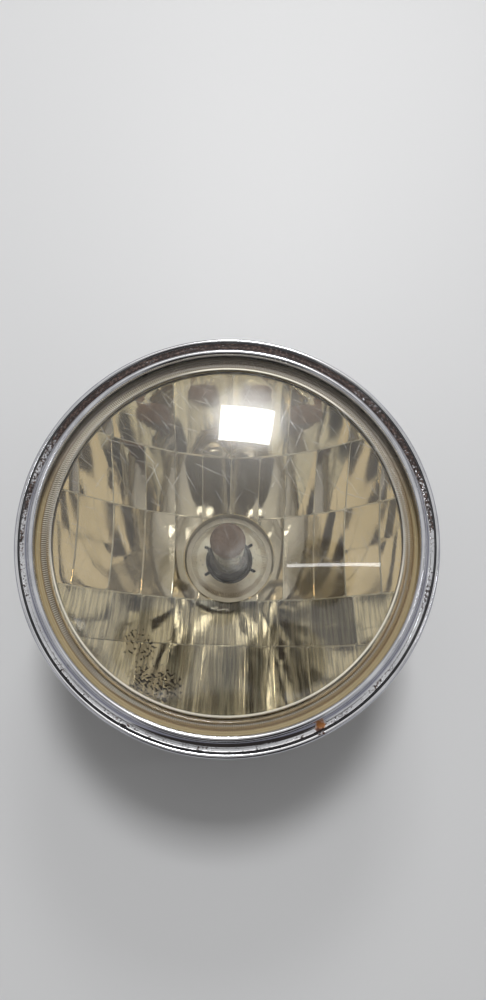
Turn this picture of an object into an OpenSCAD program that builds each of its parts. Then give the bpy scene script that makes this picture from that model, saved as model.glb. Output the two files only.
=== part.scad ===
/* [Rim] */
// Outer radius of the chromed rim
rim_r = 94.5; // [94.5:0.5:102]
// Width of the rim's face, from its outer edge to the opening over the glass
rim_w = 9.5; // [9:0.1:10.5]
// Sheet thickness of the rim
rim_t = 1.2; // [1:0.1:1.4]
// Width of the rounded bead round the opening
bead_w = 2.5; // [2:0.1:2.8]
// Width of the outer bead
outer_bead_w = 2.3; // [2:0.1:2.6]
// Width of the groove inside the outer bead
groove_w = 0.7; // [0.5:0.1:1]
// Depth of the groove
groove_d = 0.9; // [0.4:0.1:1.1]
// Height of the rim's side below the plane of the lip
rim_h = 9.6; // [8.5:0.1:11]

/* [Shell] */
// Depth from the flat back to the plane of the rim's lip
lamp_depth = 132; // [130:1:150]
// How far the shell stands out past the rim
shell_proud = 0.5; // [0.2:0.1:1.5]
// Wall of the shell
shell_t = 1.8; // [1.2:0.1:1.9]
// Radius of the flat on the back
back_r = 42; // [38:1:48]
// Height of the curved back, up to the straight side
curve_h = 70; // [62:1:76]
// Radius of the sunk seat round the wiring hole
dimple_r = 13; // [12.5:0.5:15]
// Depth of that seat
dimple_h = 3; // [2.8:0.1:4]
// Distance of the wiring hole below the middle of the back
wire_y = 26; // [24:0.5:27]
// Bore of the wiring grommet
wire_r = 5.5; // [4:0.5:7]

/* [Side mounts] */
// Height of the side mounts above the back
mount_z = 72; // [66:1:73]
// Radius of the flat boss round each side mount
boss_r = 14; // [13:0.5:15]
// Radius of the hole that holds the rubber bush
bush_hole_r = 8.9; // [8.5:0.1:9.5]
// Radius of the bush's flanges
bush_flange_r = 12; // [11:0.5:12.5]
// Thickness of each bush flange
bush_flange_t = 1.8; // [1.2:0.1:2]
// Bore of the steel collar, for an 8 mm bolt
collar_bore_r = 4.1; // [3:0.1:4.6]
// Wall of the steel collar
collar_t = 1.9; // [1.5:0.1:2.4]

/* [Lens and reflector] */
// How far the edge of the glass lies under the rim
lens_lap = 2; // [1.2:0.1:2.2]
// Thickness of the glass flange
lens_flange_t = 3; // [2.5:0.1:3.5]
// Width of the flat flange, from the edge of the glass to the foot of the dome
lens_flange_w = 6.6; // [6:0.1:7]
// Height of the step at the foot of the dome
step_h = 2.4; // [1.5:0.1:3]
// Radius of curvature of the dome
dome_r = 250; // [180:5:400]
// Thickness of the dome
dome_t = 3.2; // [2.6:0.1:3.6]
// Thickness of the seal between glass and reflector
seal_t = 1.2; // [0.8:0.1:1.6]
// How far the reflector's mouth lies inside the foot of the dome
mouth_inset = 1.9; // [1.9:0.1:3]
// Wall of the reflector
refl_t = 1.4; // [1:0.1:1.8]
// Radius of the well round the bulb
hub_r = 23.1; // [22.8:0.1:24.5]
// Focal length of the reflector
focal = 25.7; // [24:0.1:28]
// Distance from the bulb's seat to its filament, which lies at the focus
focus_len = 29.5; // [28:0.1:31]

/* [Aim] */
// Height of the aiming pivots below the lip
pivot_drop = 23; // [22:0.5:24]
// Largest aiming angle to each side, in degrees
aim_max = 2; // [0:0.5:2]
// Radius of the pivot pins
pin_r = 2; // [1.5:0.1:2.5]
// Sheet thickness of the two unit rings
ring_t = 1; // [0.8:0.1:1]
// Radius of the adjuster's thread
adj_r = 2; // [1.5:0.1:2.2]
// Length of the adjuster's spring at rest
spring_len = 12.5; // [10:0.5:13]

/* [Bulb] */
// Radius of the bulb's seating flange
flange_r = 21.5; // [21:0.1:21.6]
// Thickness of the seating flange
flange_t = 1.5; // [1.2:0.1:1.6]
// Radius of the bulb's metal collar
collar_r = 12.4; // [12:0.1:12.8]
// Radius of the glass tube
tube_r = 7.9; // [7.5:0.1:8.4]
// Wall of the glass tube
tube_t = 0.9; // [0.6:0.1:1.2]
// Length of the bulb in front of its seat
bulb_len = 60; // [52:1:61]
// Length of the painted cap at the bulb's tip
cap_len = 5; // [4:0.5:14]
// Width of the four notches in the seating flange
notch_w = 1.7; // [1.2:0.1:2.2]
// Reach of the notches past the bulb's collar
notch_len = 2.8; // [2:0.1:3.4]
// Thickness of the clip's wire
wire_t = 1.6; // [1.2:0.1:1.6]

/* [Hidden] */
$fn = 96;

// Clearances: a fixed fit, a loose fit, a running fit and a gap between sheets
fit = 0.02;
loose = 0.1;
run = 0.05;
gap = 0.3;

// Radii from the rim inwards: its opening, the glass, the dome and the reflector's mouth
lip_r = rim_r - rim_w;
lens_r = lip_r + lens_lap;
step_r = lens_r - lens_flange_w;
refl_r = step_r - mouth_inset;

// Heights of the rim and of the shell's mouth
lip_z = lamp_depth;
rim_foot_z = lip_z - rim_h;
step_z = rim_foot_z - 0.4;
shell_r = rim_r + shell_proud;
shell_in = shell_r - shell_t;
spigot_r = rim_r - rim_t - gap;
spigot_in = spigot_r - shell_t;
spigot_top = lip_z - 4.6;
joggle_h = 1.5;
step_in_z = step_z - 1.2 - joggle_h;

// Sheet hangers under the rim, inside the shell's mouth
hanger_r = spigot_in - 0.6;
hanger_t = 1.2;
hanger_in = hanger_r - hanger_t;

// The glass and reflector in their two rings
ring_front_z = lip_z - 5.2;
ring_r = lens_r + 2 * loose + ring_t;
ring_in = ring_r - ring_t;
ring_depth = 19;
ring_foot_z = lip_z - ring_depth;
ring_lip_t = 0.8;
lens_top = ring_front_z - ring_lip_t;
lens_foot = lens_top - lens_flange_t;
dome_base = lens_top + step_h;
wall_t = 2.4;
refl_top = lens_foot - seal_t;
refl_foot = refl_top - refl_t;
keep_t = 1.2;
keep_top = refl_foot;
keep_foot = ring_foot_z + 0.5;
keep_w = 2.4;
ring_screw_z = ring_foot_z + 2.6;
ring_screw_r = 1.2;
ring_screw_head = 0.9;
ring_screw_angles = [45 : 90 : 315];

// The reflector is a paraboloid of the stated focal length, hung from its mouth
vertex_z = refl_top - refl_r * refl_r / (4 * focal);
seat_z = vertex_z + focal - focus_len;
seat_hole_r = flange_r - 1.3;

// Aiming pivots and adjuster
pivot_z = lip_z - pivot_drop;
ear_w = 12;
ear_foot_z = pivot_z - 4.5;
groove_r = adj_r + 1.2;
nut_r = groove_r + 1.4;
nut_clear = 0.6;
adj_x = -(ring_in - nut_clear - nut_r);
tab_t = 1.5;
nut_gap = 0.35;
nut_flange_t = 2;
nut_foot = pivot_z - tab_t / 2 - nut_gap - nut_flange_t;
nut_top = pivot_z + tab_t / 2 + nut_gap + nut_flange_t - 0.2;
adj_collar_t = 1.4;
adj_collar_r = adj_r + 1.6;
foot_t = 1.5;
foot_top = nut_foot - spring_len - adj_collar_t - run;
adj_head_r = 4.5;
adj_head_h = 4;
adj_top = keep_top - keep_t - 3.6;
adj_hole_r = 5;
hanger_w = 14;
foot_reach = 6;
tab_reach = 5.2;

// Rim fixing screws, one at each lower side
screw_angles = [-30, 210];
screw_drop = 18;
screw_z = step_z - screw_drop;
tab_below = 6;
screw_r = 2;
screw_head_r = 3.6;
screw_head_h = 2.2;
washer_t = 0.8;
seat_boss_r = 6;
nut_w = 7;
nut_t = 2.8;
hook_angles = [72, 108];
hook_w = 10;
hook_drop = 3;
hook_t = 1.2;

// Side bush and collar
boss_out = shell_r + 1.2;
boss_in = shell_r - 3.8;
collar_out_r = collar_bore_r + collar_t;
collar_proud = 1;

// Bulb
tip_z = seat_z + bulb_len;
tip_round = 3.4;
pinch_h = 6;
base_r = collar_r - 2.2;
base_h = 12;
base_top = seat_z - 1;
base_foot = base_top - base_h;
tube_foot = base_top + fit;
collar_h = 6;
collar_skirt = 3.5;
collar_wall = 0.7;
collar_lip = 1;
bulb_neck_r = base_r + loose + collar_wall;
notch_angles = [37, 152, 213, 338];
lead_x = 4.6;
lead_r = 0.45;
arm_r = 0.3;
coil_r = 0.7;
arm_gap = 0.2;
front_coil = 5.8;
rear_coil = 5.4;
boot_t = 1.8;
boot_rib = 0.9;
boot_lip = 1.6;
boot_top = seat_z - 3.7;
boot_foot_gap = 2;
blade_len = 11;
blade_w = 8;
blade_t = 0.8;
blade_x = 7;
clip_z = seat_z - flange_t - wire_t / 2 - loose;
clip_x = 16;
clip_y = 25;
plate_t = 1.2;
ear_x = 18.5;

// Points on a quarter of an ellipse, from its side to its foot
function quarter(r0, z0, a, b, n) = [for (i = [0 : n]) [r0 + a * cos(90 * i / n), z0 - b * sin(90 * i / n)]];
// Points along an arc of a circle
function arc(r0, z0, r, a0, a1, n) =
  [for (i = [0 : n]) [r0 + r * cos(a0 + (a1 - a0) * i / n), z0 + r * sin(a0 + (a1 - a0) * i / n)]];
function reversed(list) = [for (i = [len(list) - 1 : -1 : 0]) list[i]];
// Height of the reflector's bowl at a radius, and its slope there
function bowl_z(r) = vertex_z + r * r / (4 * focal);
function bowl_slope(r) = r / (2 * focal);
// The same bowl moved out by its wall
function bowl_back(r) = let (s = bowl_slope(r), n = sqrt(1 + s * s)) [r + refl_t * s / n, bowl_z(r) - refl_t / n];
// Height of the dome at a radius
dome_top = dome_base + dome_r - sqrt(dome_r * dome_r - step_r * step_r);
function dome_z(r, down) = dome_top - down - dome_r + sqrt(dome_r * dome_r - r * r);
// Height of the rim's underside at a radius
under_a = [lip_r + bead_w, lip_z - 1.5];
under_b = [rim_r - outer_bead_w - groove_w, lip_z - 3.4];
function under_z(r) = under_a[1] + (under_b[1] - under_a[1]) * (r - under_a[0]) / (under_b[0] - under_a[0]);

// A curved strip of sheet that hangs under the rim, its width measured along the rim
module hanger(angle, width, foot_z) {
  spread = width / hanger_r * 180 / PI;
  rotate([0, 0, angle - spread / 2]) rotate_extrude(angle = spread) polygon([
    [hanger_in, foot_z], [hanger_r, foot_z],
    [hanger_r, under_z(hanger_r) - fit], [hanger_in, under_z(hanger_in) - fit]]);
}

// A cylinder that points out from the axis, between two distances
module spoke(angle, z, r, from, to) {
  rotate([0, 0, angle]) translate([from, 0, z]) rotate([0, 90, 0]) cylinder(h = to - from, r = r);
}

// Black steel shell: a flat back, an elliptical curve, a straight side and a stepped-in mouth
module shell() {
  color([0.05, 0.05, 0.055]) difference() {
    union() {
      rotate_extrude() polygon(concat(
        [[0, 0]],
        reversed(quarter(back_r, curve_h, shell_r - back_r, curve_h, 20)),
        [[shell_r, step_z - joggle_h], [spigot_r, step_z], [spigot_r, spigot_top],
         [spigot_in, spigot_top], [spigot_in, step_in_z + joggle_h], [shell_in, step_in_z]],
        quarter(back_r, curve_h, shell_in - back_r, curve_h - shell_t, 20),
        [[0, shell_t]]));
      for (a = [0, 180]) spoke(a, mount_z, boss_r, boss_in, boss_out);
      for (a = screw_angles) spoke(a, screw_z, seat_boss_r, hanger_r + gap, shell_in + 0.5);
      translate([0, -wire_y, 0]) cylinder(h = dimple_h + shell_t, r = dimple_r + shell_t);
    }
    for (a = [0, 180]) spoke(a, mount_z, bush_hole_r, boss_in - 1, boss_out + 1);
    for (a = screw_angles) spoke(a, screw_z, screw_r + loose, hanger_in, shell_r + 1);
    translate([0, -wire_y, -1]) cylinder(h = dimple_h + 1, r = dimple_r);
    translate([0, -wire_y, 0]) cylinder(h = dimple_h + shell_t + 1, r = wire_r + 3.5 + loose);
    translate([adj_x, 0, 0]) cylinder(h = curve_h, r = adj_hole_r);
  }
}

// Rubber grommet in the sunk seat on the back, where the wiring goes in
module wiring_grommet() {
  neck_r = wire_r + 3.5;
  color([0.08, 0.08, 0.08]) translate([0, -wire_y, 0]) rotate_extrude() polygon([
    [wire_r, 0.6], [dimple_r - 1.5, 0.6], [dimple_r - 1, 1.2], [dimple_r - 1, dimple_h], [neck_r, dimple_h],
    [neck_r, dimple_h + shell_t], [neck_r + 2.2, dimple_h + shell_t], [neck_r + 1.2, dimple_h + shell_t + 2.4],
    [wire_r, dimple_h + shell_t + 2.4]]);
}

// Rubber bushes in the two side bosses
module side_bushes() {
  color([0.07, 0.07, 0.07]) for (a = [0, 180]) rotate([0, 0, a]) translate([0, 0, mount_z])
    rotate([0, 90, 0]) rotate_extrude() polygon([
      [collar_out_r + run, boss_in - bush_flange_t], [bush_flange_r, boss_in - bush_flange_t],
      [bush_flange_r, boss_in], [bush_hole_r - run, boss_in], [bush_hole_r - run, boss_out],
      [bush_flange_r, boss_out], [bush_flange_r, boss_out + bush_flange_t],
      [collar_out_r + run, boss_out + bush_flange_t]]);
}

// Steel collars in the bushes, which take the bolts
module side_collars() {
  color([0.72, 0.72, 0.7]) for (a = [0, 180]) rotate([0, 0, a])
    translate([boss_in - bush_flange_t - collar_proud, 0, mount_z]) rotate([0, 90, 0]) difference() {
      cylinder(h = boss_out - boss_in + 2 * bush_flange_t + 2 * collar_proud, r = collar_out_r);
      translate([0, 0, -1]) cylinder(h = boss_out - boss_in + 2 * bush_flange_t + 2 * collar_proud + 2,
        r = collar_bore_r);
    }
}

// Chromed rim: a bead round the opening, a hollow band, a fine groove and an outer bead
module rim() {
  cove_a = lip_r + bead_w;
  cove_b = rim_r - outer_bead_w - groove_w;
  cove_mid = (cove_a + cove_b) / 2;
  bead_r = bead_w / 2;
  edge_r = outer_bead_w / 2;
  edge_z = lip_z - 2.4 - edge_r;
  color([0.8, 0.81, 0.83]) rotate_extrude($fn = 180) polygon(concat(
    [[lip_r, lip_z - 1.2]],
    arc(lip_r + bead_r, lip_z - 0.05, bead_r, 180, 10, 10),
    [for (i = [1 : 7]) let (k = i / 8) [cove_a + (cove_b - cove_a) * k,
      lip_z - 0.5 - 1.4 * k - 0.8 * sin(180 * k)]],
    [[cove_b, lip_z - 1.9], [cove_b + 0.15, lip_z - 1.9 - groove_d], [cove_b + groove_w - 0.15,
      lip_z - 1.9 - groove_d]],
    arc(rim_r - edge_r, edge_z, edge_r, 165, 0, 8),
    [[rim_r, rim_foot_z], [rim_r - rim_t, rim_foot_z], [rim_r - rim_t, lip_z - 4.4],
     [cove_b + 0.3, lip_z - 4.1], under_b, under_a]));
}

// Two hooks on the rim, which catch under the stepped mouth at the top
module rim_hooks() {
  color([0.6, 0.6, 0.58]) for (a = hook_angles) {
    foot = step_in_z - hook_drop;
    spread = hook_w / hanger_r * 180 / PI;
    hanger(a, hook_w, foot);
    rotate([0, 0, a - spread / 2]) rotate_extrude(angle = spread) polygon([
      [hanger_in, foot], [shell_in - 0.6, foot], [shell_in - 0.6, foot + hook_t], [hanger_in, foot + hook_t]]);
  }
}

// Two tabs on the rim, which the fixing screws pull against the shell
module rim_tabs() {
  color([0.6, 0.6, 0.58]) difference() {
    for (a = screw_angles) hanger(a, hanger_w, screw_z - tab_below);
    for (a = screw_angles) spoke(a, screw_z, screw_r + loose, hanger_in - 1, hanger_r + 1);
  }
}

// Square weld nuts on the tabs' inner faces
module rim_nuts() {
  back = hanger_in - 0.1;
  color([0.55, 0.55, 0.52]) difference() {
    for (a = screw_angles) rotate([0, 0, a])
      translate([back - nut_t, -nut_w / 2, screw_z - nut_w / 2]) cube([nut_t, nut_w, nut_w]);
    for (a = screw_angles) spoke(a, screw_z, screw_r + run, back - nut_t - 1, back + 1);
  }
}

// Washers under the fixing screws' heads
module rim_washers() {
  color([0.7, 0.7, 0.68]) difference() {
    for (a = screw_angles) spoke(a, screw_z, screw_head_r + 1, shell_r + run, shell_r + run + washer_t);
    for (a = screw_angles) spoke(a, screw_z, screw_r + run, shell_r - 1, shell_r + run + washer_t + 1);
  }
}

// Cross-slotted fixing screws through the shell's sides
module rim_screws() {
  head = shell_r + 2 * run + washer_t;
  color([0.72, 0.72, 0.7]) difference() {
    for (a = screw_angles) {
      spoke(a, screw_z, screw_r, hanger_in - nut_t - 1, head + 0.2);
      spoke(a, screw_z, screw_head_r, head, head + screw_head_h);
    }
    for (a = screw_angles) rotate([0, 0, a]) translate([head + screw_head_h - 1.2, 0, screw_z]) {
      translate([0, -0.4, -2.2]) cube([2, 0.8, 4.4]);
      translate([0, -2.2, -0.4]) cube([2, 4.4, 0.8]);
    }
  }
}

// Brackets at top and bottom of the rim, which carry the aiming pivots
module pivot_brackets() {
  color([0.6, 0.6, 0.58]) difference() {
    for (a = [90, 270]) hanger(a, hanger_w - 2, pivot_z - 6);
    for (a = [90, 270]) spoke(a, pivot_z, pin_r + fit, hanger_in - 1, hanger_r + 1);
  }
}

// Riveted pivot pins, on which the optic turns from side to side
module pivot_pins() {
  head = ring_in - 0.4;
  color([0.72, 0.72, 0.7]) for (a = [90, 270]) {
    spoke(a, pivot_z, pin_r, head - 0.5, hanger_r + 0.5);
    spoke(a, pivot_z, pin_r + 1.2, head - 1.4, head);
  }
}

// Bracket at the left of the rim, whose foot holds the adjuster
module adjuster_bracket() {
  spread = hanger_w / hanger_r * 180 / PI;
  color([0.6, 0.6, 0.58]) difference() {
    union() {
      hanger(180, hanger_w, foot_top - foot_t);
      rotate([0, 0, 180 - spread / 2]) rotate_extrude(angle = spread) polygon([
        [-adj_x - foot_reach, foot_top - foot_t], [hanger_r, foot_top - foot_t], [hanger_r, foot_top],
        [-adj_x - foot_reach, foot_top]]);
    }
    translate([adj_x, 0, foot_top - foot_t - 1]) cylinder(h = foot_t + 2, r = adj_r + run);
  }
}

// Adjuster screw: a slotted head behind the foot, a thrust collar and the threaded shank
module adjuster_screw() {
  color([0.75, 0.7, 0.5]) translate([adj_x, 0, 0]) difference() {
    union() {
      translate([0, 0, foot_top - foot_t - run - adj_head_h]) cylinder(h = adj_head_h, r = adj_head_r);
      translate([0, 0, foot_top - foot_t - 1]) cylinder(h = adj_top - foot_top + foot_t + 1, r = adj_r);
      translate([0, 0, foot_top + run]) cylinder(h = adj_collar_t, r = adj_collar_r);
    }
    translate([-adj_head_r - 1, -0.6, foot_top - foot_t - run - adj_head_h - 1])
      cube([2 * adj_head_r + 2, 1.2, 2.4]);
  }
}

// Grooved nut that rides on the adjuster and moves the unit ring's tab
module adjuster_nut() {
  color([0.9, 0.9, 0.86]) translate([adj_x, 0, 0]) rotate_extrude() polygon([
    [adj_r + run, nut_foot], [nut_r, nut_foot], [nut_r, nut_foot + nut_flange_t],
    [groove_r, nut_foot + nut_flange_t], [groove_r, nut_top - nut_flange_t + 0.2],
    [nut_r, nut_top - nut_flange_t + 0.2], [nut_r, nut_top], [adj_r + run, nut_top]]);
}

// Spring between the adjuster's thrust collar and its nut, as its outer form
module adjuster_spring() {
  foot = foot_top + run + adj_collar_t + fit;
  color([0.65, 0.65, 0.65]) translate([adj_x, 0, foot]) difference() {
    cylinder(h = nut_foot - fit - foot, r = adj_r + 1.5);
    translate([0, 0, -1]) cylinder(h = spring_len + 2, r = adj_r + 0.6);
  }
}

// Pressed ring round the glass, with pivot ears and the adjuster's slotted tab
module unit_ring() {
  spread = ear_w / ring_r * 180 / PI;
  color([0.62, 0.62, 0.6]) difference() {
    union() {
      rotate_extrude() polygon([
        [lens_r - 1, lens_top], [ring_in, lens_top], [ring_in, ear_foot_z], [ring_r, ear_foot_z],
        [ring_r, ring_front_z], [lens_r - 1, ring_front_z]]);
      translate([-ring_in - 0.2, -ear_w / 2, pivot_z - tab_t / 2])
        cube([ring_in + 0.2 + adj_x + tab_reach, ear_w, tab_t]);
    }
    for (cut = [[90, 90], [180, 90], [270, 180]])
      rotate([0, 0, cut[0] + spread / 2]) rotate_extrude(angle = cut[1] - spread) polygon([
        [ring_in - 1, ear_foot_z - 1], [ring_r + 1, ear_foot_z - 1], [ring_r + 1, ring_foot_z],
        [ring_in - 1, ring_foot_z]]);
    for (a = [90, 270]) spoke(a, pivot_z, pin_r + run, ring_in - 1, ring_r + 1);
    for (a = ring_screw_angles) spoke(a, ring_screw_z, ring_screw_r + loose, ring_in - 1, ring_r + 1);
    translate([adj_x, 0, pivot_z - tab_t]) cylinder(h = 2 * tab_t, r = groove_r + nut_gap);
    translate([adj_x, -groove_r - nut_gap, pivot_z - tab_t])
      cube([1.5 * tab_reach, 2 * (groove_r + nut_gap), 2 * tab_t]);
  }
}

// Ring that holds the reflector's flange up against the glass
module retaining_ring() {
  color([0.62, 0.62, 0.6]) difference() {
    rotate_extrude() polygon([
      [refl_r + keep_w, keep_top - keep_t], [ring_in - run - keep_t, keep_top - keep_t],
      [ring_in - run - keep_t, keep_foot], [ring_in - run, keep_foot], [ring_in - run, keep_top],
      [refl_r + keep_w, keep_top]]);
    for (a = ring_screw_angles) spoke(a, ring_screw_z, ring_screw_r + fit, ring_in - 3, ring_in + 1);
  }
}

// Four small screws that join the two rings, each with a round head outside and a slot in it
module ring_screws() {
  head = ring_r + fit;
  color([0.72, 0.72, 0.7]) difference() {
    for (a = ring_screw_angles) {
      spoke(a, ring_screw_z, ring_screw_r, ring_in - 2, head + 0.2);
      spoke(a, ring_screw_z, ring_screw_r + 0.9, head, head + ring_screw_head);
    }
    for (a = ring_screw_angles) rotate([0, 0, a])
      translate([head + ring_screw_head / 2, -3, ring_screw_z - 0.25]) cube([1, 6, 0.5]);
  }
}

// Clear domed glass with a flat flange
module lens() {
  inner_r = step_r - wall_t;
  color([0.85, 0.87, 0.86, 0.4]) rotate_extrude($fn = 180) polygon(concat(
    [[inner_r, lens_foot], [lens_r, lens_foot], [lens_r, lens_top], [step_r, lens_top],
     [step_r, dome_base]],
    [for (i = [15 : -1 : 0]) let (r = step_r * i / 16) [r, dome_z(r, 0)]],
    [for (i = [0 : 16]) let (r = inner_r * i / 16) [r, dome_z(r, dome_t)]]));
}

// Ring of amber sealing compound between the glass and the reflector's flange
module glass_seal() {
  color([0.6, 0.5, 0.34]) translate([0, 0, refl_top]) difference() {
    cylinder(h = seal_t, r = lens_r - 0.4, $fn = 180);
    translate([0, 0, -1]) cylinder(h = seal_t + 2, r = refl_r + 1, $fn = 180);
  }
}

// Mirrored bowl with a flange in front and the bulb's well behind
module reflector() {
  color([0.72, 0.66, 0.5]) rotate_extrude($fn = 180) polygon(concat(
    [[refl_r, refl_top], [lens_r - 0.2, refl_top], [lens_r - 0.2, refl_foot], [refl_r + 1.3, refl_foot]],
    [for (i = [0 : 18]) bowl_back(refl_r - 1.2 - (refl_r - hub_r - 2.4) * i / 18)],
    [[hub_r + refl_t, bowl_z(hub_r) - 2], [hub_r + refl_t, seat_z], [seat_hole_r, seat_z],
     [seat_hole_r, seat_z + refl_t], [hub_r, seat_z + refl_t]],
    [for (i = [0 : 19]) let (r = hub_r + (refl_r - hub_r) * i / 20) [r, bowl_z(r)]]));
}

// Steel plate behind the well: a seat ring, the clip's two ears and its catch
module bulb_seat() {
  color([0.68, 0.68, 0.66]) difference() {
    union() {
      translate([0, 0, seat_z - plate_t]) cylinder(h = plate_t, r = flange_r + 5.5);
      translate([-ear_x - 2, clip_y - 8, seat_z - plate_t]) cube([2 * ear_x + 4, 11, plate_t]);
      for (s = [-1, 1]) translate([s * ear_x - 0.8, clip_y - 2.4, clip_z - 2.4])
        cube([1.6, 4.8, seat_z - clip_z + 2.4]);
      translate([-5, -clip_y - 3.4, seat_z - plate_t]) cube([10, 8, plate_t]);
      translate([-3, -clip_y - 3.4, clip_z - wire_t - 1.2]) cube([6, 1.6, seat_z - clip_z + wire_t + 1.2]);
      translate([-3, -clip_y - 3.4, clip_z - wire_t - 1.2]) cube([6, 3.4, 1.2]);
    }
    translate([0, 0, seat_z - plate_t - 1]) cylinder(h = plate_t + 2, r = flange_r + gap);
    translate([-ear_x - 2, clip_y, clip_z]) rotate([0, 90, 0])
      cylinder(h = 2 * ear_x + 4, r = wire_t / 2 + run);
  }
}

// The bulb's seating flange, with four round-ended notches in its hole
module bulb_flange() {
  color([0.78, 0.72, 0.55]) translate([0, 0, seat_z - flange_t]) difference() {
    cylinder(h = flange_t, r = flange_r);
    translate([0, 0, -1]) cylinder(h = flange_t + 2, r = collar_r + fit);
    for (a = notch_angles) rotate([0, 0, a]) translate([collar_r + notch_len - notch_w / 2, 0, -1]) {
      cylinder(h = flange_t + 2, r = notch_w / 2);
      translate([-notch_len, -notch_w / 2, 0]) cube([notch_len, notch_w, flange_t + 2]);
    }
  }
}

// Metal collar that holds the glass tube in the flange: a skirt in the flange's hole and a neck above
module bulb_collar() {
  top = seat_z + collar_h;
  step = seat_z - flange_t / 2;
  color([0.62, 0.6, 0.55]) rotate_extrude() polygon([
    [base_r + loose, seat_z - collar_skirt], [collar_r, seat_z - collar_skirt], [collar_r, step],
    [bulb_neck_r, step], [bulb_neck_r, top - collar_lip], [bulb_neck_r - collar_lip, top], [tube_r + loose, top],
    [tube_r + loose, top - collar_lip], [base_r + loose, top - collar_lip]]);
}

// Glass tube of the bulb, closed at the tip and pinched solid at its foot
module bulb_glass() {
  in_r = tube_r - tube_t;
  color([0.9, 0.9, 0.88, 0.4]) rotate_extrude() polygon(concat(
    [[0, tube_foot], [tube_r, tube_foot]],
    arc(tube_r - tip_round, tip_z - tip_round, tip_round, 0, 90, 8),
    [[0, tip_z], [0, tip_z - tube_t]],
    arc(in_r - tip_round, tip_z - tube_t - tip_round, tip_round, 90, 0, 8),
    [[in_r, tube_foot + pinch_h], [0, tube_foot + pinch_h]]));
}

// Opaque painted cap on the bulb's tip
module bulb_cap() {
  out_r = tube_r + 0.3;
  in_r = tube_r + fit;
  color([0.42, 0.38, 0.34]) rotate_extrude() polygon(concat(
    [[in_r, tip_z - cap_len], [out_r, tip_z - cap_len]],
    arc(out_r - tip_round, tip_z + 0.3 - tip_round, tip_round, 0, 90, 8),
    [[0, tip_z + 0.3], [0, tip_z + fit]],
    arc(in_r - tip_round, tip_z + fit - tip_round, tip_round, 90, 0, 8)));
}

// Lead wires inside the bulb: three posts and the arms that reach the filaments
module bulb_leads() {
  foot = tube_foot + pinch_h;
  top = seat_z + focus_len + 5;
  arm = lead_x - coil_r - arm_gap;
  color([0.7, 0.68, 0.62]) {
    for (x = [-lead_x, lead_x]) translate([x, 0, foot]) cylinder(h = top - foot, r = lead_r, $fn = 24);
    translate([0, -lead_x, foot]) cylinder(h = focus_len - 8, r = lead_r, $fn = 24);
    translate([lead_x - arm, 0, top - 0.5]) rotate([0, 90, 0]) cylinder(h = arm, r = arm_r, $fn = 24);
    translate([-lead_x, 0, seat_z + focus_len - 9]) rotate([0, 90, 0]) cylinder(h = arm, r = arm_r, $fn = 24);
  }
}

// The two filaments, as the outer form of their coils
module bulb_filaments() {
  color([0.3, 0.3, 0.32]) {
    translate([0, 0, seat_z + focus_len - 1]) cylinder(h = front_coil, r = coil_r, $fn = 24);
    translate([0, 0, seat_z + focus_len - 4 - rear_coil]) cylinder(h = rear_coil, r = coil_r, $fn = 24);
  }
}

// Cup-shaped shield under the front filament
module bulb_shield() {
  color([0.66, 0.66, 0.64]) {
    translate([0, 0, seat_z + focus_len - 2.6]) rotate([0, 0, 195]) rotate_extrude(angle = 150)
      polygon([[2.6, 0], [3.1, 0], [3.1, 8.5], [2.6, 8.5]]);
    translate([0, 0, seat_z + focus_len - 3]) rotate([0, 0, 195]) rotate_extrude(angle = 150)
      polygon([[1, 0], [3.1, 0], [3.1, 0.5], [1, 0.5]]);
    translate([0, 0, seat_z + focus_len - 2]) rotate([0, 0, 265]) rotate_extrude(angle = 10)
      polygon([[3, 0], [4.2, 0], [4.2, 0.6], [3, 0.6]]);
  }
}

// Insulating base of the bulb
module bulb_base() {
  color([0.55, 0.5, 0.42]) translate([0, 0, base_foot]) cylinder(h = base_top - base_foot, r = base_r);
}

// Three blade terminals, set as the sides of a square open at the bottom
module bulb_terminals() {
  color([0.75, 0.73, 0.66]) translate([0, 0, base_foot - blade_len]) {
    for (s = [-1, 1]) translate([s * blade_x - blade_t / 2, -blade_w / 2, 0])
      cube([blade_t, blade_w, blade_len]);
    translate([-blade_w / 2, blade_x - blade_t / 2, 0]) cube([blade_w, blade_t, blade_len]);
  }
}

// Ribbed rubber boot over the bulb's base, open behind for the plug
module bulb_boot() {
  top = boot_top;
  foot = base_foot - blade_len - boot_foot_gap;
  wall = base_r + boot_t;
  rib = wall + boot_rib;
  color([0.08, 0.08, 0.08]) rotate_extrude() polygon(concat(
    [[base_r + loose, top], [wall + boot_lip, top], [wall + boot_lip, top - 2]],
    [for (i = [0 : 2]) for (p = [[wall, -0.8], [wall, -2.6], [rib, -3.2], [rib, -4.2]])
      [p[0], top - 2 + p[1] - 4.4 * i]],
    [[wall, top - 16], [wall - 0.6, foot], [base_r - 0.8, foot], [base_r - 0.4, base_foot - loose],
     [base_r + loose, base_foot]]));
}

// Wire clip that presses the bulb's flange home and swings back about its ears
module bulb_clip() {
  r = wire_t / 2;
  color([0.7, 0.7, 0.68]) translate([0, 0, clip_z]) {
    for (s = [-1, 1]) {
      translate([s * clip_x, clip_y, 0]) rotate([90, 0, 0]) cylinder(h = 2 * clip_y, r = r, $fn = 32);
      translate([s * clip_x, clip_y, 0]) rotate([0, s * 90, 0]) cylinder(h = ear_x + 1.5 - clip_x, r = r, $fn = 32);
      for (y = [-clip_y, clip_y]) translate([s * clip_x, y, 0]) sphere(r = r, $fn = 32);
    }
    translate([-clip_x, -clip_y, 0]) rotate([0, 90, 0]) cylinder(h = 2 * clip_x, r = r, $fn = 32);
  }
}

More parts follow.
